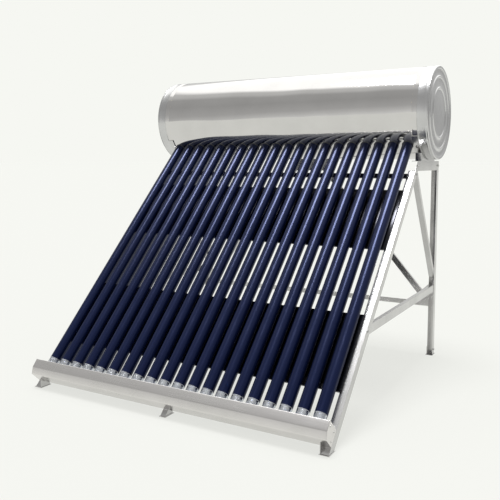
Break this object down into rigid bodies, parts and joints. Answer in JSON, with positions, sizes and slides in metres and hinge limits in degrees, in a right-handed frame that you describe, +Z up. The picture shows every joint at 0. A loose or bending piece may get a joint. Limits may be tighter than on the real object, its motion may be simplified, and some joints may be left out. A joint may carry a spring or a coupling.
{
  "type": "solar water heater",
  "caption": "Rooftop thermosiphon water heater: evacuated glass tubes slope up into a horizontal insulated steel tank on a folded steel frame with a tail box and reflectors.",
  "frame": {"origin": "on the ground, below the middle of the heater's width and depth", "axes": "+X along the tank to the right seen from the sunny side, +Y to the back away from the sun, +Z up"},
  "size_m": [1.772, 1.6908, 1.6945],
  "materials": {
    "tank_steel": "polished",
    "cap_steel": "satin",
    "inner_steel": "satin",
    "frame_steel": "satin",
    "tail_steel": "satin",
    "mirror_sheet": "polished",
    "coated_glass": "gloss",
    "foam": "matte",
    "black_plastic": "matte",
    "port_brass": "satin",
    "clear_glass": "gloss",
    "getter_silver": "polished",
    "black_rubber": "matte",
    "bolt_steel": "satin"
  },
  "bodies": {
    "frame": {"tank_shell": "tank_steel", "inner_tank": "inner_steel", "tank_insulation": "foam", "end_cap_left": "cap_steel", "end_cap_right": "cap_steel", "cold_inlet": "port_brass", "hot_outlet": "port_brass", "vent_port": "port_brass", "tail_rail": "tail_steel", "tail_end_left": "tail_steel", "tail_end_right": "tail_steel", "tube_cup_strip": "black_plastic", "upper_crossbar": "mirror_sheet", "upper_reflector": "mirror_sheet", "lower_reflector": "mirror_sheet", "rear_bar": "frame_steel", "middle_bracket": "frame_steel", "front_foot_middle": "frame_steel", "side_rail_left": "frame_steel", "side_rail_right": "frame_steel", "support_bar_left": "frame_steel", "support_bar_right": "frame_steel", "rear_leg_left": "frame_steel", "rear_leg_right": "frame_steel", "cradle_left": "frame_steel", "cradle_right": "frame_steel", "upper_brace_left": "frame_steel", "upper_brace_right": "frame_steel", "lower_brace_left": "frame_steel", "lower_brace_right": "frame_steel", "gusset_left": "frame_steel", "gusset_right": "frame_steel", "rear_diagonal_left": "frame_steel", "rear_diagonal_right": "frame_steel", "front_foot_left": "frame_steel", "front_foot_right": "frame_steel", "rear_foot_left": "frame_steel", "rear_foot_right": "frame_steel"},
    "tube_01": {"evacuated_tube_01": "coated_glass"},
    "tube_02": {"evacuated_tube_02": "coated_glass"},
    "tube_03": {"evacuated_tube_03": "coated_glass"},
    "tube_04": {"evacuated_tube_04": "coated_glass"},
    "tube_05": {"evacuated_tube_05": "coated_glass"},
    "tube_06": {"evacuated_tube_06": "coated_glass"},
    "tube_07": {"evacuated_tube_07": "coated_glass"},
    "tube_08": {"evacuated_tube_08": "coated_glass"},
    "tube_09": {"evacuated_tube_09": "coated_glass"},
    "tube_10": {"evacuated_tube_10": "coated_glass"},
    "tube_11": {"evacuated_tube_11": "coated_glass"},
    "tube_12": {"evacuated_tube_12": "coated_glass"},
    "tube_13": {"evacuated_tube_13": "coated_glass"},
    "tube_14": {"evacuated_tube_14": "coated_glass"},
    "tube_15": {"evacuated_tube_15": "coated_glass"},
    "tube_16": {"evacuated_tube_16": "coated_glass"},
    "tube_17": {"evacuated_tube_17": "coated_glass"},
    "tube_18": {"evacuated_tube_18": "coated_glass"},
    "tube_19": {"evacuated_tube_19": "coated_glass"},
    "tube_20": {"evacuated_tube_20": "coated_glass"}
  },
  "joints": [
    {"name": "tube_01_slide", "type": "slide", "parent": "frame", "child": "tube_01", "axis": [0, 0.7071, 0.7071], "range_m": [0, 0.035]},
    {"name": "tube_02_slide", "type": "slide", "parent": "frame", "child": "tube_02", "axis": [0, 0.7071, 0.7071], "range_m": [0, 0.035]},
    {"name": "tube_03_slide", "type": "slide", "parent": "frame", "child": "tube_03", "axis": [0, 0.7071, 0.7071], "range_m": [0, 0.035]},
    {"name": "tube_04_slide", "type": "slide", "parent": "frame", "child": "tube_04", "axis": [0, 0.7071, 0.7071], "range_m": [0, 0.035]},
    {"name": "tube_05_slide", "type": "slide", "parent": "frame", "child": "tube_05", "axis": [0, 0.7071, 0.7071], "range_m": [0, 0.035]},
    {"name": "tube_06_slide", "type": "slide", "parent": "frame", "child": "tube_06", "axis": [0, 0.7071, 0.7071], "range_m": [0, 0.035]},
    {"name": "tube_07_slide", "type": "slide", "parent": "frame", "child": "tube_07", "axis": [0, 0.7071, 0.7071], "range_m": [0, 0.035]},
    {"name": "tube_08_slide", "type": "slide", "parent": "frame", "child": "tube_08", "axis": [0, 0.7071, 0.7071], "range_m": [0, 0.035]},
    {"name": "tube_09_slide", "type": "slide", "parent": "frame", "child": "tube_09", "axis": [0, 0.7071, 0.7071], "range_m": [0, 0.035]},
    {"name": "tube_10_slide", "type": "slide", "parent": "frame", "child": "tube_10", "axis": [0, 0.7071, 0.7071], "range_m": [0, 0.035]},
    {"name": "tube_11_slide", "type": "slide", "parent": "frame", "child": "tube_11", "axis": [0, 0.7071, 0.7071], "range_m": [0, 0.035]},
    {"name": "tube_12_slide", "type": "slide", "parent": "frame", "child": "tube_12", "axis": [0, 0.7071, 0.7071], "range_m": [0, 0.035]},
    {"name": "tube_13_slide", "type": "slide", "parent": "frame", "child": "tube_13", "axis": [0, 0.7071, 0.7071], "range_m": [0, 0.035]},
    {"name": "tube_14_slide", "type": "slide", "parent": "frame", "child": "tube_14", "axis": [0, 0.7071, 0.7071], "range_m": [0, 0.035]},
    {"name": "tube_15_slide", "type": "slide", "parent": "frame", "child": "tube_15", "axis": [0, 0.7071, 0.7071], "range_m": [0, 0.035]},
    {"name": "tube_16_slide", "type": "slide", "parent": "frame", "child": "tube_16", "axis": [0, 0.7071, 0.7071], "range_m": [0, 0.035]},
    {"name": "tube_17_slide", "type": "slide", "parent": "frame", "child": "tube_17", "axis": [0, 0.7071, 0.7071], "range_m": [0, 0.035]},
    {"name": "tube_18_slide", "type": "slide", "parent": "frame", "child": "tube_18", "axis": [0, 0.7071, 0.7071], "range_m": [0, 0.035]},
    {"name": "tube_19_slide", "type": "slide", "parent": "frame", "child": "tube_19", "axis": [0, 0.7071, 0.7071], "range_m": [0, 0.035]},
    {"name": "tube_20_slide", "type": "slide", "parent": "frame", "child": "tube_20", "axis": [0, 0.7071, 0.7071], "range_m": [0, 0.035]}
  ]
}
